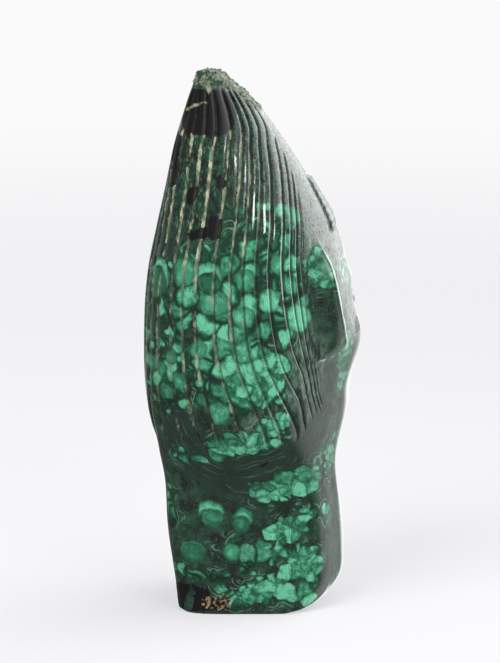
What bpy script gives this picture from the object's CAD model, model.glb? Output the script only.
import math
import bpy
import numpy as np
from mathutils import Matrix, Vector


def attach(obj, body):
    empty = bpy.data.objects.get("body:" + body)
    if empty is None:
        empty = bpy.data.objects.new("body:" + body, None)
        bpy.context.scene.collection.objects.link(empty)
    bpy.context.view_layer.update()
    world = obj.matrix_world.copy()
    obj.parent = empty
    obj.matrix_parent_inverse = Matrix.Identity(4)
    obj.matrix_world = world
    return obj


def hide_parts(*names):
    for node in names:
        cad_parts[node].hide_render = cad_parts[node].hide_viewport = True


# A malachite bust, seen from behind its right shoulder: banded stone, cut hair, rough skin at the tip.
# Angles round the head start at the middle of the back and grow toward the figure's right, which is -X.

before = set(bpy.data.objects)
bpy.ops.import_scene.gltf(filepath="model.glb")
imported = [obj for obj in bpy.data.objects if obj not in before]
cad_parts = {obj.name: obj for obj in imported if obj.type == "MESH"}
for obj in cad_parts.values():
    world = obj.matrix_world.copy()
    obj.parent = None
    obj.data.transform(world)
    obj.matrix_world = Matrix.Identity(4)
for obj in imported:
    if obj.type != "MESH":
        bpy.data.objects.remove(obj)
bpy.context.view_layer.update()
print("frame loaded")


class Settings(dict):  # a dictionary that is read as settings.name
    __getattr__ = dict.__getitem__


def ease(low, high, value):
    t = np.clip((value - low) / (high - low), 0, 1)
    return t * t * (3 - 2 * t)


def bump(distance, reach):
    return ease(1, 0, np.abs(distance) / reach)


def within(value, low, fullFrom, fullTo, high):  # 1 inside a range, with soft ends
    return ease(low, fullFrom, value) * ease(high, fullTo, value)


def hill(across, halfAcross, up, halfUp):
    return np.exp(-((across / halfAcross) ** 2) - (up / halfUp) ** 2)


def smoothCurve(points, at):  # through the points, with no overshoot
    x, y = np.array(points, float).T[:2]
    step, rise = np.diff(x), np.diff(y) / np.diff(x)
    slope = np.zeros(len(x))
    slope[0], slope[-1] = rise[0], rise[-1]
    sameWay = rise[:-1] * rise[1:] > 0
    slope[1:-1][sameWay] = (2 * rise[:-1] * rise[1:] / (rise[:-1] + rise[1:] + 1e-12))[sameWay]
    at = np.clip(at, x[0], x[-1])
    i = np.clip(np.searchsorted(x, at) - 1, 0, len(x) - 2)
    t = (at - x[i]) / step[i]
    bend = t * (1 - t) * ((1 - t) * slope[i] - t * slope[i + 1]) * step[i]
    return y[i] + (y[i + 1] - y[i]) * (t * t * (3 - 2 * t)) + bend


# The lump, before any cutting

lump = Settings(
    sections=(  # height, how far the middle sits back, half width, half depth
        (0.0, 0.002, 0.03, 0.031),
        (0.045, 0.004, 0.0312, 0.0328),
        (0.06, 0.0055, 0.0318, 0.0354),
        (0.08, 0.0052, 0.0333, 0.0396),
        (0.097, 0.0042, 0.0338, 0.0416),
        (0.111, 0.0048, 0.0331, 0.0409),
        (0.126, 0.0059, 0.0312, 0.0387),
        (0.141, 0.0067, 0.0282, 0.0348),
        (0.156, 0.0098, 0.0232, 0.0286),
        (0.171, 0.0138, 0.0178, 0.0222),
        (0.1855, 0.0178, 0.0116, 0.0144),
        (0.194, 0.0212, 0.0074, 0.0086),
        (0.1992, 0.0236, 0.0044, 0.0047),
    ),
    tipHeight=0.2,
    tipBack=0.0005,
    headSquareness=2.1,
    blockTurn=math.radians(50),  # one corner of the foot block points to the back
    blockRight=0.031,
    blockLeft=0.0322,
    blockNear=0.0215,
    blockFar=0.031,
    blockTaper=0.0028,
    blockSquareness=(2.6, 5.0),  # elsewhere, and at the corner that shows
    cornerHere=(-0.2, 0.3),
    blockEnds=0.036,
    headStarts=0.078,
    edge=(0.0012, 0.016),  # radius at the foot, on its sharp side and elsewhere
    sharpSide=math.radians(30),
    sharpReach=(45, 95),
    edgeDepth=0.8,
    chestRise=0.002,
    chestFrom=(60, 32),
    chestHeights=(0.002, 0.012, 0.036, 0.058),
    creaseDepth=0.0006,
    creaseHalf=14,
)


def sectionValues(height, column):
    return smoothCurve([(row[0], row[column]) for row in lump.sections], height)


def outlineReach(sides, across, along, squareness):
    right, left, near, far = sides
    side = np.where(across > 0, right, left)
    end = np.where(along > 0, near, far)
    total = np.abs(across / side) ** squareness + np.abs(along / end) ** squareness
    return total ** (-1 / squareness)


def lumpReach(angle, height):
    halfWidth, halfDepth = sectionValues(height, 2), sectionValues(height, 3)
    across, along = np.sin(angle), np.cos(angle)
    sides = (halfWidth, halfWidth, halfDepth, halfDepth)
    head = outlineReach(sides, across, along, lump.headSquareness)
    across, along = np.sin(angle - lump.blockTurn), np.cos(angle - lump.blockTurn)
    atCorner = ease(*lump.cornerHere, -across) * ease(*lump.cornerHere, along)
    least, most = lump.blockSquareness
    left = lump.blockLeft - lump.blockTaper * ease(lump.blockEnds, 0, height)
    sides = (lump.blockRight, left, lump.blockNear, lump.blockFar)
    block = outlineReach(sides, across, along, least + (most - least) * atCorner)
    return block + (head - block) * ease(lump.blockEnds, lump.headStarts, height)


def footRounding(angle, height):
    turned = np.degrees(np.arccos(np.cos(angle - lump.sharpSide)))
    sharp, soft = lump.edge
    radius = sharp + (soft - sharp) * ease(*lump.sharpReach, turned)
    depth = np.clip(1 - height / radius, 0, 1)
    return -radius * (1 - np.sqrt(1 - depth**2)) * lump.edgeDepth


def chestRelief(around, height):
    fromFront = 180 - np.abs(around)
    swell = lump.chestRise * ease(*lump.chestFrom, fromFront)
    crease = lump.creaseDepth * bump(fromFront - lump.chestFrom[0], lump.creaseHalf)
    return (swell - crease) * within(height, *lump.chestHeights)


# The hair: long cuts that fan out from the tip, with strands that swell between them

hair = Settings(
    grooves=(5, 12.5, 20, 30, 39, 46, 54, 62.5, 72.5, 79, 84, 88),
    halfWidth=0.00085,
    depth=0.001,
    swell=0.00036,
    wideStrand=0.0055,
    sideFlatness=0.7,
    flatterFrom=(64, 78),
    highFlatness=0.2,
    highFrom=(0.148, 0.156),
    fineFrom=(42, 60),  # degrees, where the cuts lie closer and are finer
    fineShare=0.74,
    edge=90,
    top=0.192,
    topSoft=0.003,
    foot=0.0675,
    footSoft=0.0025,
    sideFoot=0.0785,
    sideFrom=(40, 85),
    limit=(  # how far round the cuts go at each height
        (0.085, 101), (0.093, 96), (0.099, 92), (0.125, 93), (0.137, 98), (0.1485, 105),
        (0.157, 111), (0.165, 118), (0.17, 121), (0.176, 124), (0.19, 127),
    ),
    spread=(
        (0, 1.05), (0.045, 1.15), (0.0675, 1.56), (0.077, 1.42), (0.083, 1.31), (0.09, 1.18),
        (0.096, 1.09), (0.104, 1.03), (0.117, 1), (0.13, 1.01), (0.139, 1.05), (0.149, 1.15),
        (0.158, 1.29), (0.166, 1.45), (0.173, 1.62), (0.181, 1.92), (0.2, 2.2),
    ),
    squeezeFrom=82,
    squeeze=((0.085, 0.48), (0.101, 0.7), (0.119, 1)),
    crowded=115,
    crowdRoom=30,
    lowTaper=0.42,
    lowSide=(50, 70),
    lowFrom=(0.125, 0.1),
    flat=(64.4, 0.1492, 0.0013, 0.0058),  # a polished flat: angle, height and half sizes
    flatLean=615,  # degrees to a metre
    flatEdges=(1.7, 1.1, 1.25, 0.95),
    flatLevel=0.8,
    flatCut=0.0001,
    flatTurn=(0.163, -0.006),  # how far it faces to the left and up
)


def heldBack(angle, height):  # behind the ear and at the forehead, lines crowd together
    past = np.maximum(angle - hair.squeezeFrom, 0)
    angle = angle - past * (1 - smoothCurve(hair.squeeze, height))
    limit, room = hair.crowded, hair.crowdRoom
    return np.where(angle < limit, angle, limit + room * np.tanh((angle - limit) / room))


def grooveAngle(start, height):
    side, size = np.sign(start), np.abs(start)
    spread = smoothCurve(hair.spread, height)
    inner = heldBack(size * spread, height)
    edge = heldBack(hair.edge * spread, height)
    outer = edge + (size - hair.edge) / (180 - hair.edge) * (180 - edge)
    return side * np.where(size < hair.edge, inner, outer)


def grooveLines():
    return sorted({side * a for a in hair.grooves for side in (-1, 1)})


def hairMask(start, height):
    foot = hair.foot + (hair.sideFoot - hair.foot) * ease(*hair.sideFrom, np.abs(start))
    top, soft, topSoft = hair.top, hair.footSoft, hair.topSoft
    mask = within(height, foot - soft, foot + soft, top - topSoft, top + topSoft)
    limit = smoothCurve(hair.limit, height)
    return mask * ease(limit + 1, limit - 2, np.abs(grooveAngle(start, height)))


def cutSize(a):  # each cut against the widest
    return 1 - (1 - hair.fineShare) * ease(*hair.fineFrom, abs(a))


def lowOnSide(start, height):  # 1 low on the side, where the cuts grow finer
    return ease(*hair.lowSide, np.abs(start)) * ease(*hair.lowFrom, height)


def grooveDepth(start, height, reach, wider=1.0, aside=0.0):  # 0 on a strand, 1 in the bottom of a cut
    depth = np.zeros_like(height)
    around = grooveAngle(start, height)
    for a in grooveLines():
        size = hair.halfWidth * cutSize(a) * (1 - hair.lowTaper * lowOnSide(a, height))
        away = np.radians(around - grooveAngle(np.full_like(height, a), height)) * reach
        depth = np.maximum(depth, bump(away - aside * size, wider * size))
    return depth * hairMask(start, height)


def hairRelief(start, height, reach):
    around = grooveAngle(start, height)
    lines = [grooveAngle(np.full_like(height, a), height) for a in grooveLines()]
    swell = np.zeros_like(height)
    for a, b in zip(lines, lines[1:]):
        along = np.clip((around - a) / (b - a), 0, 1)
        width = np.minimum(np.radians(b - a) * reach / hair.wideStrand, 1)
        swell += width * np.sin(math.pi * along) * ((around > a) & (around < b))
    even = hair.sideFlatness + hair.highFlatness * ease(*hair.highFrom, height)
    swell *= 1 - even * ease(*hair.flatterFrom, np.abs(start))
    angle, tall, halfWidth, halfHeight = hair.flat
    up = height - tall
    across = np.radians(around - angle - hair.flatLean * up) * reach
    side, fullSide, end, fullEnd = hair.flatEdges
    flat = ease(side * halfWidth, fullSide * halfWidth, np.abs(across))
    flat = flat * ease(end * halfHeight, fullEnd * halfHeight, np.abs(up))
    swell += (hair.flatLevel - swell) * flat
    turned = hair.flatTurn[0] * across + hair.flatTurn[1] * up
    cutBack = (hair.flatCut * (1 - (up / halfHeight) ** 2) - turned) * flat
    depth = hair.depth * cutSize(start) * grooveDepth(start, height, reach)
    depth *= 1 - hair.lowTaper * lowOnSide(start, height)
    return hair.swell * swell * hairMask(start, height) - depth - cutBack


# The short strands over the forehead, which end at each side in a groove

fringe = Settings(
    side=((0.14, 52), (0.161, 40)),  # degrees from the middle of the face
    top=0.1605,
    hairline=0.148,
    dip=0.0068,
    pitch=0.0025,
    lift=0.0005,
    rise=0.0007,
    slant=0.00016,
    soft=0.0012,
    sideSoft=3,
    dipFrom=12,
    parting=1.6,
    line=0.0009,
    sideLine=1.0,
    sideLineFrom=0.002,
    lineDepth=0.0006,
)


def fringeRelief(around, height):
    fromFront = 180 - np.abs(around)
    side, top, soft = smoothCurve(fringe.side, height), fringe.top, fringe.soft
    lower = fringe.hairline - fringe.dip * ease(fringe.dipFrom, side, fromFront)
    inside = within(height, lower - soft, lower + soft / 2, top - soft, top)
    inside = inside * ease(side, side - fringe.sideSoft, fromFront)
    strand = np.abs(np.sin(math.pi * (height + fringe.slant * fromFront) / fringe.pitch))
    swell = fringe.lift + fringe.rise * (strand - bump(fromFront, fringe.parting))
    topLine = bump(height - top, fringe.line) * ease(side + 2, side, fromFront)
    tall = within(height, lower - fringe.sideLineFrom, lower, top, top + soft)
    sideLine = bump(fromFront - side, fringe.sideLine) * tall
    return swell * inside - fringe.lineDepth * np.maximum(topLine, sideLine)


# The ears: leaves whose backs rise to a rim and drop to the cheek

ear = Settings(
    rim=(
        (0.095, 91), (0.0963, 97), (0.0975, 105), (0.099, 110), (0.1015, 112),
        (0.1065, 110.7), (0.116, 109.5), (0.1235, 110), (0.1305, 111.5), (0.1375, 109),
    ),
    root=((0.095, 86), (0.1, 90), (0.12, 92), (0.13, 97), (0.1375, 106)),
    rise=(
        (0.095, 0.0), (0.097, 0.0014), (0.099, 0.003), (0.1015, 0.004), (0.11, 0.0045),
        (0.1235, 0.004), (0.1305, 0.0024), (0.1375, 0.0006), (0.1395, 0.0),
    ),
    rootSoft=4,
    roundness=0.8,
    drop=2.4,
    lip=0.0004,
    lipPlace=(0.4, 1.6),  # degrees behind the rim, and half its width
    lipFull=0.001,
    shineWidth=0.9,  # mm
    shineBehind=0.3,
    shineTop=0.133,
    step=0.0002,
)


def earRelief(around, height):
    size = np.abs(around)
    rim, root = smoothCurve(ear.rim, height), smoothCurve(ear.root, height)
    inside = (height > ear.rise[0][0]) & (height < ear.rise[-1][0])
    out = smoothCurve(ear.rise, height)
    rise = ease(root - ear.rootSoft, rim - 1, size) ** ear.roundness
    drop = ease(rim + ear.drop, rim, size)
    behind, halfLip = ear.lipPlace
    lip = ear.lip * bump(size - rim + behind, halfLip) * np.minimum(out / ear.lipFull, 1)
    return (out * rise * drop + lip) * inside


def rimLine(around, height, reach):  # 1 on the rim, 0 away from it
    rim = smoothCurve(ear.rim, height)
    perDegree = np.radians(1) * reach
    slope = (smoothCurve(ear.rim, height + ear.step) - rim) / ear.step * perDegree
    away = (np.abs(around) - rim + ear.shineBehind) * perDegree / np.sqrt(1 + slope**2)
    tall = within(height, ear.rim[0][0], ear.rim[1][0], ear.shineTop, ear.rim[-1][0])
    return bump(away * 1000, ear.shineWidth) * tall


# A calm, even face

face = Settings(
    eyes=0.114,
    eyeSide=0.013,
    eyeHalfWidth=0.0072,
    eyeHalfHeight=0.0036,
    eyeStep=0.0007,
    lidDrop=0.0014,
    lidCurve=10,
    lidCut=0.0008,
    lidLine=0.001,
    brow=0.121,
    noseBase=0.093,
    noseHeights=(0.0918, 0.0952, 0.117, 0.127),
    noseRise=0.0085,
    noseRootRise=0.0022,
    noseWidth=0.0026,
    noseSpread=0.0022,
    mouth=0.083,
    mouthCurve=4,
    mouthCut=0.0013,
    mouthLine=0.0011,
    mouthHalfWidth=0.0108,
    chin=0.066,
    jawRise=0.013,
    jawSides=(0.004, 0.03),
    jawDepth=0.007,
    neckFrom=(0.024, 0.056),
    neckCut=0.0068,
    neckHalfWidth=0.026,
    begins=(95, 125),
    forms=(  # rise, distance to the side, half width, height, half height and arch
        (0.0016, 0.012, 0.0095, 0.1225, 0.0028, 14),
        (-0.0038, 0.012, 0.0086, 0.114, 0.0066, 0),
        (0.0034, 0.013, 0.006, 0.114, 0.0044, 0),
        (0.0034, 0.0046, 0.0028, 0.096, 0.0034, 0),
        (0.0026, 0.0, 0.009, 0.0851, 0.002, 10),
        (0.003, 0.0, 0.0078, 0.0803, 0.0022, -10),
        (-0.0012, 0.0, 0.009, 0.0745, 0.0028, 0),
        (0.003, 0.0, 0.009, 0.0705, 0.0062, 0),
        (0.0012, 0.019, 0.008, 0.101, 0.009, 0),
        (-0.0016, 0.022, 0.007, 0.083, 0.009, 0),
    ),
)


def eyeRelief(side, height):
    across, up = side - face.eyeSide, height - face.eyes
    almond = 1 - (across / face.eyeHalfWidth) ** 2 - (up / face.eyeHalfHeight) ** 2
    lid = up + face.lidDrop - face.lidCurve * across**2
    cut = face.lidCut * bump(lid, face.lidLine) * bump(across, face.eyeHalfWidth)
    return face.eyeStep * ease(0, 0.3, almond) - cut


def noseRelief(x, height):
    along = np.clip((face.brow - height) / (face.brow - face.noseBase), 0, 1)
    halfWidth = face.noseWidth + face.noseSpread * along**2
    rise = face.noseRootRise + (face.noseRise - face.noseRootRise) * along**1.3
    return rise * np.exp(-((x / halfWidth) ** 2)) * within(height, *face.noseHeights)


def faceRelief(around, height, reach):
    x = np.sin(np.radians(around)) * reach
    side = np.abs(x)
    total = eyeRelief(side, height) + noseRelief(x, height)
    for rise, across, halfWidth, tall, halfHeight, arch in face.forms:
        up = height - tall + arch * (side - across) ** 2
        total += rise * hill(side - across, halfWidth, up, halfHeight)
    mouth = face.mouth + face.mouthCurve * x**2
    total -= face.mouthCut * bump(height - mouth, face.mouthLine) * bump(x, face.mouthHalfWidth)
    jaw = face.chin + face.jawRise * ease(*face.jawSides, side)
    underJaw = within(height, *face.neckFrom, jaw - face.jawDepth, jaw)
    total -= face.neckCut * underJaw * np.clip(1 - (x / face.neckHalfWidth) ** 2, 0, 1) ** 2
    return total * ease(*face.begins, np.abs(around))


# Where the stone changes: each patch is an angle, a height, a half width and a half height, in degrees
# and mm, and a tilt if it leans

stone = Settings(
    nodules=(
        (44, 116, 25, 37), (0, 105, 15, 27), (82, 136, 7.5, 15), (46, 148, 9, 9),
        (14, 62, 6, 2.5), (30, 24, 5, 4.5), (43, 20, 4, 4), (8, 14, 9, 2.6, -18),
        (-18, 40, 6, 9),
    ),
    plateau=2.6,  # mm, so that these stay broken by darker stone
    whole=(
        (104, 129, 7, 7, 20), (121, 96, 6, 11), (45, 68, 14, 4.5, 8), (62, 48, 6, 5, 10),
        (84, 50, 14, 6.2, 12), (80, 32, 13, 5.2, 34), (69, 24, 6.5, 3.2, 25), (94, 18, 6.5, 8),
        (84, 17, 3.2, 3.4), (60, 9.5, 13, 4.6, 16), (94, 6, 5, 3), (112, 38, 2.2, 3.2),
        (118, 60, 4, 8), (64, 75, 7, 4.5, 20), (52, 93, 12, 11, 20), (40, 106, 7, 6),
    ),
    wholePlateau=4.0,
    bare=(
        (96, 96, 9, 30), (110, 110, 8, 9), (82, 100, 5, 14), (-8, 112, 6, 9),
        (54, 66, 4, 2), (20, 146, 12, 6), (64, 105, 3, 3), (78, 95, 6.5, 15),
        (139, 22, 7, 11),
    ),
    dim=(
        (0, 76, 13, 10), (5, 28, 20, 12), (20, 18, 12, 6), (66, 152, 8, 4.5),
        (106, 130, 7, 7), (121, 96, 9, 16), (122, 60, 8, 18),
    ),
    disc=(  # ringed nodules: angle, height, radius and how bright
        (13, 130, 4.6, 0.45), (30, 120, 4.9, 0.5), (46, 115, 3.5, 0.75), (62, 120, 3.8, 0.95),
        (81, 113, 5.0, 0.9), (1, 24, 4.3, 0.12), (28, 24, 2.9, 0.55), (-9, 95, 2.8, 0.4),
        (2, 86, 2.8, 0.45), (11, 91, 3.0, 0.5), (-1, 94, 2.8, 0.4), (6, 99, 2.6, 0.45),
        (33, 80, 3.8, 0.6), (22, 103, 3.2, 0.65), (93, 149, 3.2, 0.6), (70, 133, 3.0, 0.6),
        (48, 128, 3.4, 0.6), (121, 100, 3.0, 0.7), (77, 125, 3.2, 0.65),
    ),
    crescent=(  # a bright disc, and the dark one set lower over it
        (-6, 126.8, 5.9, 0.95), (27.5, 129.2, 4.6, 0.95), (14.5, 39.8, 3.7, 0.9),
        (40.5, 37.2, 3.3, 0.75),
    ),
    eye=(
        (-7, 124.5, 5.6, 0.02), (28, 127.0, 3.9, 0.04), (14.5, 37.2, 3.2, 0.36), (38, 34.6, 3.0, 0.28),
    ),
    black=(
        (20, 185.6, 11.2, 8.0), (-10, 163.5, 3.2, 4.8), (13, 157, 1.8, 3.0, -20),
        (37, 162, 1.6, 2.2), (20, 143.6, 4.6, 1.9, 12), (30, 146, 2.4, 3.8, -10), (-4, 6, 7.6, 5.2),
        (8, 4, 7, 2.6), (-18, 172, 4, 5), (60, 59, 2.4, 0.7, 14), (70, 119, 1.6, 1.0),
    ),
    blackSquareness=3.5,
    greenWedges=((-2, 4.6, 1.8, 4.6, -16),),
    pale=((2, 187.6, 6.0, 0.55, 19), (32, 194.2, 1.1, 1.7), (-12, 186, 1.2, 0.8)),
    ochre=((11, 4.6, 3.0, 2.4), (20, 4.6, 3.2, 2.8)),
    grey=((84, 93, 9, 17), (60, 76, 8, 5)),
    pit=(
        (3, 165, 0.7, 0.7), (-10, 157, 0.9, 0.9), (44, 143.5, 0.6, 0.6), (5, 78, 0.7, 0.7),
        (93, 70, 0.8, 0.8), (100, 80, 0.6, 0.6), (9, 60, 0.7, 0.7),
    ),
    bandMiddle=(45, 112, 25, 46),  # growth bands wrap this part of the hair
    bandSquareness=2.4,
    bandScale=30,
    bandHere=(-2, 2, 12, 17),
    mottleFrom=0.143,
    mottleRise=0.014,
    mottleSide=(10, 60, 110, 150),
    noNodules=(172, 0.6),  # past this angle, and how fast they end
    far=-30.0,
    absent=-10,  # what the ends of the lump store where a patch can't reach
    hiddenNodules=(46, (4, 150), (4, 12)),  # how many, their heights and their sizes
    hiddenBlack=(7, (10, 185), (3, 7)),
    hiddenShape=((0.7, 1.3), (-30, 30)),
    hiddenAround=(140, 335),
    hiddenDiscs=(40, ((132, 340), (6, 152), (2.4, 4.8), (0.1, 0.95))),
    seed=11,
)

smoothBand = Settings(  # the bare, polished band in front of the hair, and the hollow of the ear in it
    begins=(84, 92),
    ends=(140, 155),
    up=(0.08, 0.11),
    higher=(0.143, 0.153),
    wider=18,
    earFrom=(90, 96),
    earHeights=(0.092, 0.098, 0.13, 0.138),
    bandsEnd=((90, 98), (0.088, 0.096)),
)

roughSkin = Settings(  # it starts lower down the ridge in front of the tip
    lowest=0.1945,
    ridgeDrop=0.0095,
    ridgeFrom=(88, 128),
    soft=0.0012,
)

residue = Settings(  # where polishing paste stayed in the cuts
    least=0.2,
    high=0.62,
    highHeights=(0.13, 0.15, 0.176, 0.188),
    highSide=(10, 78, 48),
    low=(0.1, 0.28),
    lowFrom=(0.06, 0.075),
    lowSide=(8, 66, 26),
    line=(1.02, -0.32),  # width and place in a cut
    shadeLine=(0.85, 0.5),
    nearCut=3.0,
)


def nearness(patch, around, height, reach, squareness=2.0):  # 0 in a patch's middle, 1 on its outline
    angle, tall, halfWidth, halfHeight, tilt = (*patch, 0)[:5]
    apart = (around - angle + 180) % 360 - 180
    u = np.radians(apart) * reach * 1000
    v = height * 1000 - tall
    c, s = math.cos(math.radians(tilt)), math.sin(math.radians(tilt))
    across, up = np.abs(u * c + v * s), np.abs(v * c - u * s)
    return ((across / halfWidth) ** squareness + (up / halfHeight) ** squareness) ** (1 / squareness)


def patchField(patches, around, height, reach, squareness=2.0):  # mm inside a patch, negative outside
    field = np.full(height.shape, stone.far)
    for patch in patches:
        inside = (1 - nearness(patch, around, height, reach, squareness)) * min(patch[2:4])
        field = np.maximum(field, inside)
    return field


def discFields(discs, around, height, reach):  # mm inside the nearest disc, and that disc's brightness
    field, bright = np.full(height.shape, stone.far), np.zeros(height.shape)
    for angle, tall, radius, level in discs:
        inside = (1 - nearness((angle, tall, radius, radius), around, height, reach)) * radius
        bright = np.where(inside > field, level, bright)
        field = np.maximum(field, inside)
    return field, bright


def drawn(count, ranges, seed):  # rows of numbers, each from its own range
    chance = np.random.default_rng(seed)
    return [[chance.uniform(*limits) for limits in ranges] for _ in range(count)]


def hiddenPatches(count, heights, sizes, seed):
    rows = drawn(count, (stone.hiddenAround, heights, sizes, *stone.hiddenShape), seed)
    return [(angle, tall, half, half * ratio, tilt) for angle, tall, half, ratio, tilt in rows]


def crustMask(around, height):  # the lump's own skin, left on the tip and down the ridge in front of it
    lowest = roughSkin.lowest - roughSkin.ridgeDrop * ease(*roughSkin.ridgeFrom, np.abs(around))
    return ease(lowest - roughSkin.soft, lowest + roughSkin.soft, height)


def nearTo(around, middle, end, full):  # 1 around the middle angle, 0 from the end on
    return ease(end, full, np.abs(around - middle))


def pasteMask(around, height):
    high = within(height, *residue.highHeights)
    least, more = residue.low
    low = (least + more * nearTo(around, *residue.lowSide)) * ease(*residue.lowFrom, height)
    left = nearTo(around, *residue.highSide)
    return np.clip(residue.least + residue.high * high * left + low * (1 - high), 0, 1)


def bareBandMask(around, height):
    size = np.abs(around)
    wider = smoothBand.wider * ease(*smoothBand.higher, height)
    start, full = smoothBand.begins
    band = within(size, start - wider, full - wider, *smoothBand.ends) * ease(*smoothBand.up, height)
    inEar = ease(*smoothBand.earFrom, size) * within(height, *smoothBand.earHeights)
    inEar = inEar * ease(ear.drop, 0, size - smoothCurve(ear.rim, height))
    return band * (1 - inEar)


# The mesh: columns follow the cuts, and rows are closer over the face

grid = Settings(
    betweenCuts=5,
    frontColumns=196,
    rows=214,
    reach=0.037,
    closer=0.088,
    closerFrom=0.02,
)


def columnAngles():
    lines = grooveLines()
    half = math.degrees(hair.halfWidth / grid.reach)
    columns = []
    for a, b in zip(lines, lines[1:]):
        halfA, halfB = (half * cutSize(line) for line in (a, b))
        columns += [a, a + halfA / 2, a + halfA]
        columns += list(np.linspace(a + halfA, b - halfB, grid.betweenCuts + 2)[1:-1])
        columns += [b - halfB, b - halfB / 2]
    front = np.linspace(lines[-1], 360 + lines[0], grid.frontColumns + 1)[:-1]
    columns += list(np.where(front > 180, front - 360, front))
    return np.array(columns)


def rowHeights():
    even = np.linspace(0, 1, grid.rows)
    wave = grid.closer * np.sin(2 * math.pi * (even - grid.closerFrom)) / (2 * math.pi)
    heights = even + wave - wave[0]
    return heights / heights[-1] * lump.sections[-1][0]


def loftMesh(name, points, top, bottom):
    rows, columns = points.shape[:2]
    verts = [tuple(p) for p in points.reshape(-1, 3)] + [top, bottom]
    ring = [(j, (j + 1) % columns) for j in range(columns)]
    faces = []
    for low in range(0, (rows - 1) * columns, columns):
        high = low + columns
        faces += [(low + j, low + k, high + k, high + j) for j, k in ring]
    last = (rows - 1) * columns
    for j, k in ring:
        faces += [(last + j, last + k, rows * columns), (k, j, rows * columns + 1)]
    mesh = bpy.data.meshes.new(name)
    mesh.from_pydata(verts, [], faces)
    mesh.update()
    return mesh


def storeField(mesh, name, values, atTop, atBottom):
    attribute = mesh.attributes.new(name, "FLOAT", "POINT")
    attribute.data.foreach_set("value", np.append(values.ravel(), (atTop, atBottom)).astype(np.float32))


def storeUnrolled(mesh, around, height, reach):  # mm round from the middle of the back, and mm up
    order = np.argsort(around[0])
    turned = np.radians(around[:, order])
    steps = np.diff(turned, axis=1) * (reach[:, order][:, 1:] + reach[:, order][:, :-1]) / 2
    length = np.concatenate((np.zeros((len(steps), 1)), np.cumsum(steps, axis=1)), axis=1)
    middle = np.array([np.interp(0, row, lengths) for row, lengths in zip(turned, length)])
    unrolled = np.zeros(around.shape + (3,))
    unrolled[:, order, 0] = (length - middle[:, None]) * 1000
    unrolled[..., 1] = height * 1000
    ends = ((0, 1000 * lump.tipHeight, 0), (0, 0, 0))
    attribute = mesh.attributes.new("unrolled", "FLOAT_VECTOR", "POINT")
    vectors = np.concatenate((unrolled.reshape(-1, 3), ends))
    attribute.data.foreach_set("vector", vectors.astype(np.float32).ravel())


def storeStone(mesh, start, around, height, reach):
    def inside(name, more=(), squareness=2.0):
        return patchField((*stone[name], *more), around, height, reach, squareness)

    def groove(*shape):
        return grooveDepth(start, height, reach, *shape)

    seed, absent = stone.seed, stone.absent
    nodules = inside("nodules", hiddenPatches(*stone.hiddenNodules, seed))
    nodules = np.minimum(np.minimum(nodules, stone.plateau), -inside("bare"))
    last, fade = stone.noNodules
    nodules = np.minimum(nodules, (last - np.abs(around)) * fade)
    hiddenBlack = hiddenPatches(*stone.hiddenBlack, seed + 1)
    black = inside("black", hiddenBlack, stone.blackSquareness)
    band = nearness(stone.bandMiddle, around, height, reach, stone.bandSquareness)
    band = (band - 1) * stone.bandScale
    side, low = smoothBand.bandsEnd
    bandHere = within(band, *stone.bandHere) * (1 - ease(*side, around) * ease(*low, height))
    mottleFrom = stone.mottleFrom + stone.mottleRise * within(around, *stone.mottleSide)
    fields = {  # values on the rows, at the tip and under the foot
        "nodules": (nodules, absent, absent),
        "whole": (np.minimum(inside("whole"), stone.wholePlateau), absent, absent),
        "black": (np.minimum(black, -inside("greenWedges")), absent, absent),
        "dim": (ease(-3, 3, inside("dim")), 0, 0),
        "grey": (ease(-4, 3, inside("grey")), 0, 0),
        "band": (band, 60, 60),
        "bandHere": (bandHere, 0, 0),
        "mottle": ((height - mottleFrom) * 1000, 50, -100),
        "cut": (groove(), 0, 0),
        "nearCut": (groove(residue.nearCut), 0, 0),
        "pasteLine": (groove(*residue.line), 0, 0),
        "shadeLine": (groove(*residue.shadeLine), 0, 0),
        "paste": (pasteMask(around, height), 0, 0),
        "rimLine": (rimLine(around, height, reach), 0, 0),
        "crust": (crustMask(around, height), 1, 0),
        "onHair": (hairMask(start, height), 1, 0),
        "bareBand": (bareBandMask(around, height), 1, 0),
    }
    for name in ("pale", "ochre", "pit"):
        fields[name] = (inside(name), absent, absent)
    for name in ("disc", "crescent", "eye"):
        hidden = drawn(*stone.hiddenDiscs, seed + 2) if name == "disc" else ()
        field, bright = discFields((*stone[name], *hidden), around, height, reach)
        fields[name] = (field, absent, absent)
        fields[name + "Tone"] = (bright, 0, 0)
    for name, (values, atTip, underFoot) in fields.items():
        storeField(mesh, name, values, atTip, underFoot)
    storeUnrolled(mesh, around, height, reach)


def carvedMesh():
    start, height = np.meshgrid(columnAngles(), rowHeights())
    around = grooveAngle(start, height)
    angle = np.radians(around)
    reach = lumpReach(angle, height)
    relief = hairRelief(start, height, reach) + earRelief(around, height)
    relief = relief + fringeRelief(around, height) + faceRelief(around, height, reach)
    cut = reach + relief + chestRelief(around, height) + footRounding(angle, height)
    middle = sectionValues(height, 1)
    points = np.stack((-cut * np.sin(angle), middle + cut * np.cos(angle), height), axis=-1)
    tip = (0.0, lump.sections[-1][1] + lump.tipBack, lump.tipHeight)
    mesh = loftMesh("carved bust", points, tip, (0.0, lump.sections[0][1], 0.0))
    storeStone(mesh, start, around, height, reach)
    return mesh


# Nodes are joined through wires, so that each finish below reads as a recipe

class Wire:  # one output of a node, which adds and multiplies like a number
    def __init__(self, node, output=0):
        self.tree, self.socket = node.id_data, node.outputs[output]

    __add__ = __radd__ = lambda self, other: maths("ADD", self, other)
    __mul__ = __rmul__ = lambda self, other: maths("MULTIPLY", self, other)
    __sub__ = lambda self, other: maths("SUBTRACT", self, other)
    __rsub__ = lambda self, other: maths("SUBTRACT", other, self)


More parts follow.
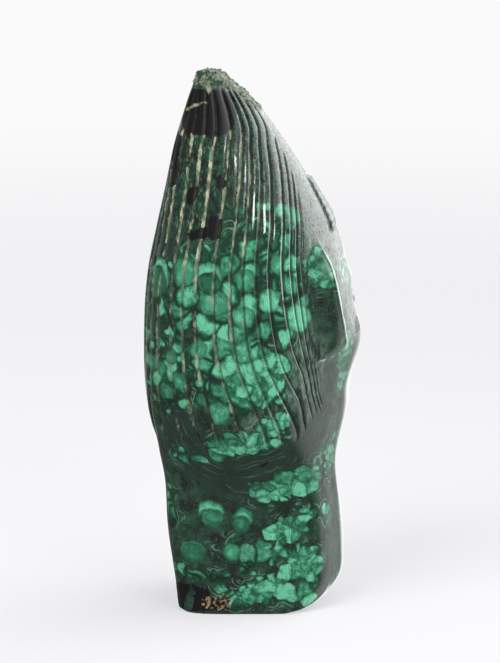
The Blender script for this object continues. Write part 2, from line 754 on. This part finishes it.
def addNode(tree, kind, settings=None, inputs=None):
    node = tree.nodes.new(kind)
    for name, value in (settings or {}).items():
        setattr(node, name, value)
    for name, value in (inputs or {}).items():
        if isinstance(value, Wire):
            tree.links.new(value.socket, node.inputs[name])
        else:
            node.inputs[name].default_value = value
    return node


def addWire(kind, inputs, settings=None, output=0):  # a node in the tree that its inputs come from
    tree = next(value.tree for value in inputs.values() if isinstance(value, Wire))
    return Wire(addNode(tree, kind, settings, inputs), output)


def maths(operation, *values):
    return addWire("ShaderNodeMath", dict(enumerate(values)), {"operation": operation})


def vectorMaths(operation, *values, output=0):
    return addWire("ShaderNodeVectorMath", dict(enumerate(values)), {"operation": operation}, output)


def scaled(vector, amount):
    return addWire("ShaderNodeVectorMath", {0: vector, "Scale": amount}, {"operation": "SCALE"})


def ramp(value, low, high, toLow=0.0, toHigh=1.0):
    given = {"Value": value, "From Min": low, "From Max": high, "To Min": toLow, "To Max": toHigh}
    return addWire("ShaderNodeMapRange", given, {"interpolation_type": "SMOOTHSTEP"}, "Result")


def mixed(amount, a, b, blend="MIX"):
    settings = {"data_type": "RGBA", "blend_type": blend}
    return addWire("ShaderNodeMix", {0: amount, 6: a, 7: b}, settings, 2)


def mixedNumber(amount, a, b):
    return addWire("ShaderNodeMix", {0: amount, 2: a, 3: b}, {"data_type": "FLOAT"})


def noise(vector, scale, detail=2.0, roughness=0.5, output=0):
    given = {"Vector": vector, "Scale": scale, "Detail": detail, "Roughness": roughness}
    return addWire("ShaderNodeTexNoise", given, {"noise_dimensions": "3D"}, output)


def swing(value, size):  # noise made to swing to both sides of 0
    return (value - 0.5) * size


def between(value, low, high, soft):  # 1 between two values, with soft ends
    return ramp(value, low - soft, low + soft) * ramp(value, high + soft, high - soft)


def rings(value, spacing, shift=0.0):  # -1 to 1, once for each spacing
    return maths("SINE", value * (2 * math.pi / spacing) + shift)


def brighter(colour, amount):  # the colour times 1 + amount
    factor = amount + 1.0
    grey = addWire("ShaderNodeCombineColor", {"Red": factor, "Green": factor, "Blue": factor})
    return mixed(1.0, colour, grey, "MULTIPLY")


def fromPhoto(red, green, blue):  # a colour as a screen shows it, made linear
    def linear(v):
        v = v / 255
        return v / 12.92 if v <= 0.04045 else ((v + 0.055) / 1.055) ** 2.4
    return (linear(red), linear(green), linear(blue), 1)


def emptyMaterial(name):
    material = bpy.data.materials.new(name)
    material.use_nodes = True
    material.node_tree.nodes.clear()
    return material, material.node_tree


malachite = Settings(
    noduleSizes=(7.2, 4.8, 3.5),  # mm across
    smallFrom=(-10.0, 0.0),  # past which a nodule's draw gives it the second size, and the third
    sizeSpread=160.0,
    tallerBigger=-0.12,
    warp=6.8,
    fineWarp=0.48,
    disorder=0.8,
    bulge=1.5,
    roundness=0.9,
    radius=0.6,  # of a nodule's size, and how much more where they are packed
    packedRadius=0.34,
    fibreDrift=0.37,
    ringSpacing=0.75,
    bandSpacings=(1.1, 2.9),
    singles=(  # ring spacing and depth
        ("disc", 0.8, 0.3), ("crescent", 1.0, 0.12), ("eye", 0.85, 0.3),
    ),
    upright=(1, 1, 0.42),  # streaks run up the head
    scratches=(1, 1, 0.055),
    gloss=0.08,
    bend=1.68,
    reliefDepth=0.0005,
)

noises = {  # cycles to a mm, octaves and roughness
    "drift": (0.13, 1.0),
    "shiver": (0.9, 2.0),
    "fibres": (4.0, 2.0),
    "choose": (0.06, 1.0),
    "fluff": (0.42, 4.0, 0.6),
    "wobble": (0.14, 1.0),
    "depth": (0.2, 4.0),
    "speckle": (1.5, 3.0, 0.6),
    "grey": (0.6, 4.0, 0.6),
    "slow": (0.055, 1.0),
    "along": (0.12, 2.0),
    "outline": (0.19, 1.0),
    "unrest": (0.42, 2.0),
    "sway": (0.2, 1.0),
    "ringFade": (0.17, 1.0),
    "streak": (0.95, 5.0, 0.64),
    "fleck": (1.5, 3.0, 0.6),
    "blot": (0.24, 2.0),
    "ragged": (0.55, 3.0),
    "crumb": (0.8, 3.0),
    "patchy": (0.2, 4.0, 0.68),
    "pasteEdge": (0.8, 4.0, 0.65),
    "fuller": (0.11, 1.0),
    "speck": (0.75, 4.0, 0.6),
    "skinBrown": (0.4, 2.0),
    "skinGreen": (0.33, 2.0),
    "scratch": (2.1, 4.0, 0.66),
    "grain": (2.4, 4.0, 0.6),
}

curves = {  # from one value to another, and what they turn into if that isn't 0 and 1
    "packed": (-1.0, 1.0),
    "chance": (0.15, 0.9, 0.0, 0.68),
    "darkEdge": (0.0, 1.7, -0.72, 0.22),
    "hollowHere": (0.2, 0.15),
    "hollow": (0.5, 1.5, -0.35, 0.75),
    "ringDepth": (0.3, 0.95, 0.03, 0.26),
    "nearEdge": (2.8, 0.7),
    "seam": (0.75, -0.05),
    "noduleEdge": (0.0, 1.1),
    "noduleHere": (-0.3, 0.4),
    "threads": (0.6, 1.8, 0.0, 0.75),
    "along": (0.4, 0.62),
    "outline": (0.46, 0.6, 0.0, 0.75),
    "grey": (0.4, 0.66, 0.0, 0.7),
    "ringFade": (0.42, 0.62),
    "singleLevel": (0.0, 2.6, -0.95, -0.55),
    "singleEdge": (0.6, -0.5, 0.0, 0.6),
    "singleHere": (-0.9, 0.1),
    "mottle": (-1.2, 1.6),
    "black": (-0.15, 0.15),
    "pit": (0.0, 0.25, 0.0, 0.85),
    "ochre": (-0.6, 0.6),
    "crumb": (0.48, 0.62),
    "cutLine": (0.0, 0.3),
    "paste": (0.44, 0.96),
    "patchy": (0.95, 1.22),
    "shade": (0.1, 0.7),
    "dull": (0.62, 0.4, 0.0, 0.28),
    "dullCut": (0.02, 0.4, 0.0, 0.3),
    "dullScratch": (0.46, 0.66, 0.0, 0.55),
}

tints = {  # a screen colour; where a value lays it over others: from, to, and how far
    "edge": (26, 54, 41),
    "deep": (38, 92, 66, -0.5, 0.0),
    "middle": (58, 130, 98, 0.0, 0.5),
    "bright": (100, 182, 144, 0.4, 1.0),
    "matrix": (28, 40, 33, 0.1, -0.5),
    "deepMatrix": (40, 70, 55, 0.36, 0.7),
    "speckle": (104, 116, 98, 0.54, 0.72, 0.34),
    "grey": (98, 122, 106),
    "pale": (112, 170, 140),
    "bandGround": (36, 50, 43),
    "flow": (68, 98, 83),
    "mottleDark": (26, 36, 31),
    "mottleGreen": (26, 62, 45, 0.38, 0.62),
    "mottleLight": (82, 112, 92, 0.52, 0.7),
    "mottleDeep": (22, 30, 26, 0.46, 0.36),
    "fleck": (138, 140, 106, 0.64, 0.8, 0.48),
    "fleckDark": (22, 28, 25, 0.38, 0.3),
    "black": (18, 16, 16),
    "palePatch": (150, 160, 128, -0.2, 0.5, 0.8),
    "ochre": (164, 136, 92),
    "ochreLight": (200, 176, 136, 0.6, 0.7),
    "paste": (206, 211, 175, 0.45, 0.7),
    "pasteLow": (134, 158, 130),
    "pasteGreen": (118, 146, 118, 0.42, 0.62),
    "pasteBrown": (122, 126, 102, 0.5, 0.4),
    "pasteShade": (50, 48, 40, 0.45, 0.7),
    "rimShine": (196, 214, 200, 0.25, 0.8, 0.62),
    "skin": (108, 122, 104, 0.38, 0.52),
    "skinDark": (34, 50, 42),
    "skinLight": (168, 172, 158, 0.56, 0.68),
    "skinBrown": (118, 118, 98, 0.54, 0.64),
    "skinGreen": (40, 70, 54, 0.46, 0.38),
}


def curve(name, value):
    return ramp(value, *curves[name])


def tint(name):
    return fromPhoto(*tints[name][:3])


def laid(colour, **layers):  # tints laid over a colour, each as far as its value says
    for name, value in layers.items():
        limits = tints[name][3:]
        amount = ramp(value, *limits[:2], 0.0, *limits[2:]) if limits else value
        colour = mixed(amount, colour, tint(name))
    return colour


def noduleTone(level):  # from nearly black to bright
    return laid(tint("edge"), deep=level, middle=level, bright=level)


def noduleCells(place, size, packed):
    # one size of nodule: mm in from its rounded outline, mm of bulge, two chances, fibres and its middle
    look = malachite
    given = {"Vector": place, "Scale": 1 / size, "Randomness": look.disorder}
    flat = {"voronoi_dimensions": "2D"}
    cells, edges = (addNode(place.tree, "ShaderNodeTexVoronoi", {**flat, "feature": feature}, given)
                    for feature in ("F1", "DISTANCE_TO_EDGE"))
    chances = addNode(place.tree, "ShaderNodeSeparateColor", inputs={"Color": Wire(cells, "Color")})
    middle = Wire(cells, "Position")
    out = Wire(cells, "Distance") * size
    bulge = (0.5 * size - out) * look.bulge
    room = look.packedRadius * size * packed + look.radius * size - look.roundness * out
    inward = maths("SMOOTH_MIN", Wire(edges, "Distance") * size, room, look.roundness)
    facing = vectorMaths("NORMALIZE", vectorMaths("SUBTRACT", place, middle))
    fibres = noise(vectorMaths("ADD", facing, scaled(middle, look.fibreDrift)), *noises["fibres"])
    return inward, bulge, Wire(chances, "Red"), Wire(chances, "Green"), fibres, middle


def noduleColour(inward, chance, second, fibres, fluff, packed):
    level = curve("chance", chance) + curve("darkEdge", inward) * (1 - 0.7 * packed)
    level = level + swing(fibres, 0.95) + swing(fluff, 1.9) + 0.29 * packed
    hollow = curve("hollowHere", chance) * curve("hollow", inward) * (1 - packed)
    ringed = rings(inward, malachite.ringSpacing) * curve("ringDepth", second)
    tone = brighter(noduleTone(level - hollow), ringed * curve("nearEdge", inward))
    tone = brighter(tone, swing(fibres, 0.5))
    return laid(tone, edge=curve("seam", inward) * (1 - 0.62 * packed), matrix=inward)


def malachiteMaterial():
    look = malachite
    material, tree = emptyMaterial("polished malachite")
    mm = scaled(Wire(addNode(tree, "ShaderNodeTexCoord"), "Object"), 1000.0)
    upright = vectorMaths("MULTIPLY", mm, look.upright)

    def field(name, output="Fac"):  # what the mesh stores under this name
        return Wire(addNode(tree, "ShaderNodeAttribute", {"attribute_name": name}), output)

    def grain(name, place=mm, output="Fac"):
        return noise(place, *noises[name], output=output)

    drift, shiver = (vectorMaths("SUBTRACT", grain(name, output="Color"), (0.5, 0.5, 0.5))
                     for name in ("drift", "shiver"))
    push = vectorMaths("ADD", scaled(drift, look.warp), scaled(shiver, look.fineWarp))
    laidOut = vectorMaths("ADD", field("unrolled", "Vector"), push)

    # nodules of three sizes, each drawn by its middle, which grow past the edge of their patch
    fluff, wobble = grain("fluff"), swing(grain("wobble"), 8.0)
    packed = curve("packed", field("whole"))
    big, small, tiny = (noduleCells(laidOut, size, packed) for size in look.noduleSizes)
    tall = Wire(addNode(tree, "ShaderNodeSeparateXYZ", inputs={0: big[-1]}), "Y")
    choose = swing(grain("choose", big[-1]), look.sizeSpread) + look.tallerBigger * tall
    toSmall, toTiny = (maths("GREATER_THAN", choose, least) for least in look.smallFrom)
    three = zip(big[:-1], small[:-1], tiny[:-1])
    inward, bulge, *others = (mixedNumber(toTiny, mixedNumber(toSmall, a, b), c) for a, b, c in three)
    inward = maths("SMOOTH_MIN", inward, big[0] + 0.3, 0.5)
    tone = noduleColour(inward, *others, fluff, packed)
    patches = maths("MAXIMUM", field("nodules") + wobble, field("whole") + 0.3 * wobble)
    grown = patches + maths("MINIMUM", bulge, 1.6)

    # the dark ground, with pale lines that follow the clusters' outlines and bands that wrap the hair
    depth, bandHere = grain("depth", vectorMaths("ADD", mm, push)), field("bandHere")
    ground = brighter(laid(tint("matrix"), deepMatrix=depth), 1.3 * fluff - 0.62)
    band = field("band") + 12.0 * grain("slow") + 1.6 * depth
    fine, coarse = look.bandSpacings
    threads = curve("threads", rings(band, fine) + rings(band, coarse, 1.0))
    arcs = 0.35 * bulge + patches
    outline = maths("MAXIMUM", between(arcs, -1.5, -1.25, 0.25), 0.5 * between(arcs, -2.6, -2.4, 0.2))
    outline = outline * curve("outline", grain("outline")) * (1 - 0.9 * bandHere)
    ground = laid(
        ground, speckle=grain("speckle"), bandGround=0.75 * bandHere,
        flow=threads * curve("along", grain("along")) * bandHere, pale=outline,
        grey=curve("grey", grain("grey", upright)) * field("grey"))
    nodule = mixed(curve("noduleEdge", grown), tint("edge"), brighter(tone, -0.38 * field("dim")))
    colour = mixed(curve("noduleHere", grown), ground, nodule)

    # single ringed nodules
    ringFade = curve("ringFade", grain("ringFade"))
    unrest = swing(grain("unrest"), 1.2) + swing(grain("sway"), 2.4)
    for name, spacing, ringDepth in look.singles:
        inside = field(name) + unrest
        tone = noduleTone(1.2 * fluff + field(name + "Tone") + curve("singleLevel", inside))
        tone = brighter(tone, ringDepth * rings(inside, spacing) * ringFade)
        rim = 0.3 * between(inside, 0.45, 0.8, 0.3) * ringFade
        tone = laid(tone, pale=rim, edge=curve("singleEdge", inside))
        colour = mixed(curve("singleHere", inside), colour, tone)

    # the mottled upper head
    streak, fleck, blot = grain("streak", upright), grain("fleck", upright), grain("blot")
    besideCut = field("nearCut") * field("paste")
    mottled = laid(tint("mottleDark"), mottleGreen=blot, mottleLight=streak, mottleDeep=streak,
                   fleck=fleck + 0.15 * besideCut, fleckDark=fleck)
    mottleHere = curve("mottle", field("mottle") + swing(streak, 9.0) + wobble)
    colour = mixed(mottleHere, colour, mottled)

    # black and pale patches with crisp, ragged edges
    ragged, crumb = swing(grain("ragged"), 2.6), grain("crumb")
    blackHere = curve("black", field("black") + ragged)
    pitHere = curve("pit", field("pit") + 0.15 * ragged)
    colour = laid(laid(colour, black=blackHere), black=pitHere, palePatch=field("pale") + 0.6 * ragged)
    ochreHere = curve("ochre", field("ochre") + 2.0 * ragged) * curve("crumb", crumb)
    colour = mixed(0.65 * ochreHere, colour, laid(tint("ochre"), ochreLight=crumb))

    # polishing paste left in the cuts: broken, with brown shade beside it
    pasteLine, pasteRag = field("pasteLine"), swing(grain("pasteEdge", upright), 2.0)
    line = (pasteLine + pasteRag + swing(grain("fuller"), 1.6)) * curve("cutLine", pasteLine)
    paste = curve("paste", line) * curve("patchy", grain("patchy") + field("paste"))
    paste = paste * (1 - 0.95 * blackHere)
    pasteTone = laid(tint("pasteLow"), paste=field("paste"), pasteGreen=blot, pasteBrown=streak)
    shadeHere = curve("shade", field("shadeLine") + 0.4 * pasteRag) * (0.62 - 0.55 * blackHere)
    colour = mixed(shadeHere, colour, laid(tint("matrix"), pasteShade=field("paste")))
    colour = laid(mixed(0.9 * paste, colour, pasteTone), rimShine=field("rimLine"))

    # the natural skin
    crust, speck = field("crust"), grain("speck")
    skinTone = laid(tint("skinDark"), skin=speck, skinLight=speck,
                    skinBrown=grain("skinBrown"), skinGreen=grain("skinGreen"))
    colour = mixed(crust, colour, skinTone)

    # the polish, duller where the stone is soft, scratched or covered
    bareBand = field("bareBand")
    scratch = grain("scratch", vectorMaths("MULTIPLY", mm, look.scratches))
    rough = curve("dull", streak) * mottleHere * field("onHair") * (1 - bareBand)
    for duller in (0.5 * paste, 0.7 * crust, 0.5 * ochreHere, 0.42 * blackHere,
                   curve("dullCut", field("cut")), curve("dullScratch", scratch) * bareBand):
        rough = maths("MAXIMUM", rough, duller)
    height = grain("grain") * (0.6 * crust + 0.3 * paste + 0.012) + 0.16 * scratch * bareBand
    relief = addWire("ShaderNodeBump", {
        "Strength": 1.0, "Distance": look.reliefDepth, "Height": height})

    shader = addNode(tree, "ShaderNodeBsdfPrincipled", inputs={
        "Base Color": colour, "Roughness": rough + look.gloss, "IOR": look.bend, "Normal": relief})
    output = addNode(tree, "ShaderNodeOutputMaterial", inputs={"Surface": Wire(shader)})
    output.is_active_output = True
    return material


# The rough skin at the tip: the surface is thrown up, and small grains are set into it

skin = {
    "Throw": 0.0027,
    "Coarse": 205.0,
    "Fine": 900.0,
    "Grains": 200000.0,
    "Grain Size": 0.0005,
    "Seed": 5,
}


def skinTree():
    tree = bpy.data.node_groups.new("rough skin", "GeometryNodeTree")
    sockets = tree.interface
    sockets.new_socket("Geometry", in_out="INPUT", socket_type="NodeSocketGeometry")
    for name, value in skin.items():
        kind = "NodeSocketInt" if name == "Seed" else "NodeSocketFloat"
        sockets.new_socket(name, in_out="INPUT", socket_type=kind).default_value = value
    sockets.new_socket("Stone", in_out="INPUT", socket_type="NodeSocketMaterial")
    sockets.new_socket("Geometry", in_out="OUTPUT", socket_type="NodeSocketGeometry")
    group = addNode(tree, "NodeGroupInput")
    given = {name: Wire(group, name) for name in ("Geometry", "Stone", *skin)}
    stored = addNode(tree, "GeometryNodeInputNamedAttribute", {"data_type": "FLOAT"}, {"Name": "crust"})
    crust, place, normal = (Wire(node) for node in (
        stored, addNode(tree, "GeometryNodeInputPosition"), addNode(tree, "GeometryNodeInputNormal")))
    coarse, fine = (noise(place, given[name]) for name in ("Coarse", "Fine"))
    lift = (swing(coarse, 1.0) + swing(fine, 0.5)) * given["Throw"] * crust
    moved = addWire("GeometryNodeSetPosition", {
        "Geometry": given["Geometry"], "Offset": scaled(normal, lift)})
    spots = addNode(tree, "GeometryNodeDistributePointsOnFaces", inputs={
        "Mesh": moved, "Density": given["Grains"] * ramp(crust, 0.5, 1.0), "Seed": given["Seed"]})
    grain = addWire("GeometryNodeMeshIcoSphere", {"Radius": given["Grain Size"], "Subdivisions": 1})
    sizes = {2: 0.4, 3: 1.2, "Seed": given["Seed"]}
    grains = addWire("GeometryNodeInstanceOnPoints", {
        "Points": Wire(spots, "Points"), "Instance": grain, "Rotation": Wire(spots, "Rotation"),
        "Scale": addWire("FunctionNodeRandomValue", sizes, {"data_type": "FLOAT"}, 1)})
    joined = addNode(tree, "GeometryNodeJoinGeometry")
    for part in (grains, moved):
        tree.links.new(part.socket, joined.inputs[0])
    real = addWire("GeometryNodeRealizeInstances", {0: Wire(joined)})
    smooth = addWire("GeometryNodeSetShadeSmooth", {0: real})
    dressed = addWire("GeometryNodeSetMaterial", {"Geometry": smooth, "Material": given["Stone"]})
    addNode(tree, "NodeGroupOutput", inputs={"Geometry": dressed})
    return tree


def placed(name, data):
    thing = bpy.data.objects.new(name, data)
    bpy.context.scene.collection.objects.link(thing)
    return thing


def giveInput(modifier, name, value):
    for item in modifier.node_group.interface.items_tree:
        if item.item_type == "SOCKET" and item.in_out == "INPUT" and item.name == name:
            modifier[item.identifier] = value


def madePlain(thing):
    depsgraph = bpy.context.evaluated_depsgraph_get()
    mesh = bpy.data.meshes.new_from_object(thing.evaluated_get(depsgraph))
    thing.modifiers.clear()
    thing.data = mesh
    return thing


def carvedBust():
    material = malachiteMaterial()
    mesh = carvedMesh()
    mesh.materials.append(material)
    bust = placed("carvedBust", mesh)
    modifier = bust.modifiers.new("rough skin", "NODES")
    modifier.node_group = skinTree()
    for name, value in skin.items():
        giveInput(modifier, name, value)
    giveInput(modifier, "Stone", material)
    madePlain(bust)
    faces = sum(len(p.vertices) - 2 for p in bust.data.polygons)
    print("bust cut:", faces, "triangles")
    return bust


bust = carvedBust()
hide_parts("carved_bust")
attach(bust, "root")


# Camera, floor and light

view = Settings(
    azimuth=-130,
    elevation=12,
    distance=1.1,
    aim=(0.0, 0.0, 0.1),
    focal=2996 * 36 / 663,  # mm, for the tall side of the frame
    slide=-0.004,  # m to the picture's left, so that the bust stands right of the middle
    lift=0.0014,
)


def cameraAxes():
    turn, rise = math.radians(view.azimuth), math.radians(view.elevation)
    level = math.cos(rise)
    toCamera = Vector((math.sin(turn) * level, -math.cos(turn) * level, math.sin(rise)))
    return toCamera, Vector((math.cos(turn), math.sin(turn), 0))


def aroundBust(turnRight, rise, distance):  # a place seen from the bust, turned right of the camera
    toCamera, right = cameraAxes()
    level = Vector((toCamera.x, toCamera.y, 0)).normalized()
    turn, rise = math.radians(turnRight), math.radians(rise)
    flat = level * math.cos(turn) + right * math.sin(turn)
    return Vector(view.aim) + (flat * math.cos(rise) + Vector((0, 0, math.sin(rise)))) * distance


def makeCamera():
    toCamera, right = cameraAxes()
    aim = Vector(view.aim) + right * view.slide + Vector((0, 0, view.lift))
    camera = placed("camera", bpy.data.cameras.new("camera"))
    camera.data.lens = view.focal
    camera.data.sensor_width = 36
    camera.location = aim + toCamera * view.distance
    camera.rotation_euler = toCamera.to_track_quat("Z", "Y").to_euler()
    bpy.context.scene.camera = camera


floor = Settings(
    radius=5.0,
    steps=64,
    paper=fromPhoto(214, 214, 217),
    glow=fromPhoto(244, 243, 246),
    glowNear=0.55,
    far=fromPhoto(250, 250, 251),
    whitensFrom=0.3,
    whiteAt=1.3,
)


def makeFloor():
    mesh = bpy.data.meshes.new("floor")
    turns = [2 * math.pi * i / floor.steps for i in range(floor.steps)]
    ring = [(floor.radius * math.cos(turn), floor.radius * math.sin(turn), 0) for turn in turns]
    mesh.from_pydata(ring, [], [tuple(range(floor.steps))])
    thing = placed("floor", mesh)
    material, tree = emptyMaterial("white paper")
    place = Wire(addNode(tree, "ShaderNodeTexCoord"), "Object")
    far = ramp(vectorMaths("LENGTH", place, output="Value"), floor.whitensFrom, floor.whiteAt)
    paper = addNode(tree, "ShaderNodeBsdfDiffuse", inputs={"Color": floor.paper})
    glow = addWire("ShaderNodeEmission", {
        "Color": mixed(far, floor.glow, floor.far), "Strength": 1.0})
    share = far * (1.0 - floor.glowNear) + floor.glowNear
    both = addWire("ShaderNodeMixShader", {0: share, 1: Wire(paper), 2: glow})
    addNode(tree, "ShaderNodeOutputMaterial", inputs={"Surface": both})
    mesh.materials.append(material)
    thing.visible_glossy = False


lights = {  # turned right of the camera, rise, distance, width, height, power and if it is mirrored
    "key": (-40, 46, 1.1, 0.55, 0.55, 8.3, False),
    "fill": (28, 8, 1.3, 0.8, 0.8, 4.6, False),
    "top": (0, 84, 1.2, 0.9, 0.9, 4.0, False),
    "window": (34.5, 24.5, 1.3, 0.31, 0.12, 1.9, True),
}


def makeLights():
    for name, (turn, rise, distance, width, height, power, mirrored) in lights.items():
        lamp = bpy.data.lights.new(name, "AREA")
        lamp.shape = "RECTANGLE"
        lamp.size, lamp.size_y = width, height
        lamp.energy = power
        thing = placed(name, lamp)
        thing.location = aroundBust(turn, rise, distance)
        thing.rotation_euler = (thing.location - Vector(view.aim)).to_track_quat("Z", "Y").to_euler()
        thing.visible_glossy = mirrored


room = Settings(
    seen=fromPhoto(250, 250, 251),
    dim=0.1,
    walls={  # turned right of the camera, rise, where it starts and is full, and strength
        "highRightBehind": (112, 32, 34, 14, 4.2),
        "highRight": (68, 46, 24, 12, 2.2),
        "rightBehind": (134, 15, 33, 15, 4.0),
        "lowRightBehind": (140, -14, 40, 15, 0.7),
        "behind": (178, 8, 30, 14, 1.1),
        "right": (108, 11, 24, 12, 4.6),
        "lowRight": (104, -22, 37, 16, 1.1),
        "edgeRight": (172, -15, 30, 15, 1.6),
        "leftBehind": (-140, 12, 40, 15, 0.35),
        "ceiling": (90, 80, 60, 25, 0.35),
    },
)


def makeRoom():
    world = bpy.data.worlds.new("room")
    bpy.context.scene.world = world
    world.use_nodes = True
    tree = world.node_tree
    tree.nodes.clear()
    looking = Wire(addNode(tree, "ShaderNodeTexCoord"), "Generated")
    strength = room.dim
    for turn, rise, start, full, power in room.walls.values():
        toWall = (aroundBust(turn, rise, 1.0) - Vector(view.aim)).normalized()
        facing = vectorMaths("DOT_PRODUCT", looking, tuple(toWall), output="Value")
        start, full = (math.cos(math.radians(limit)) for limit in (start, full))
        strength = maths("MAXIMUM", ramp(facing, start, full, 0.0, power), strength)
    around = addNode(tree, "ShaderNodeBackground", inputs={"Color": (1, 1, 1, 1), "Strength": strength})
    seen = addNode(tree, "ShaderNodeBackground", inputs={"Color": room.seen, "Strength": 1.0})
    isCamera = Wire(addNode(tree, "ShaderNodeLightPath"), "Is Camera Ray")
    both = addWire("ShaderNodeMixShader", {0: isCamera, 1: Wire(around), 2: Wire(seen)})
    addNode(tree, "ShaderNodeOutputWorld", inputs={"Surface": both})


makeCamera()
makeFloor()
makeLights()
makeRoom()
bpy.context.scene.view_settings.view_transform = "Standard"
print("stage set")
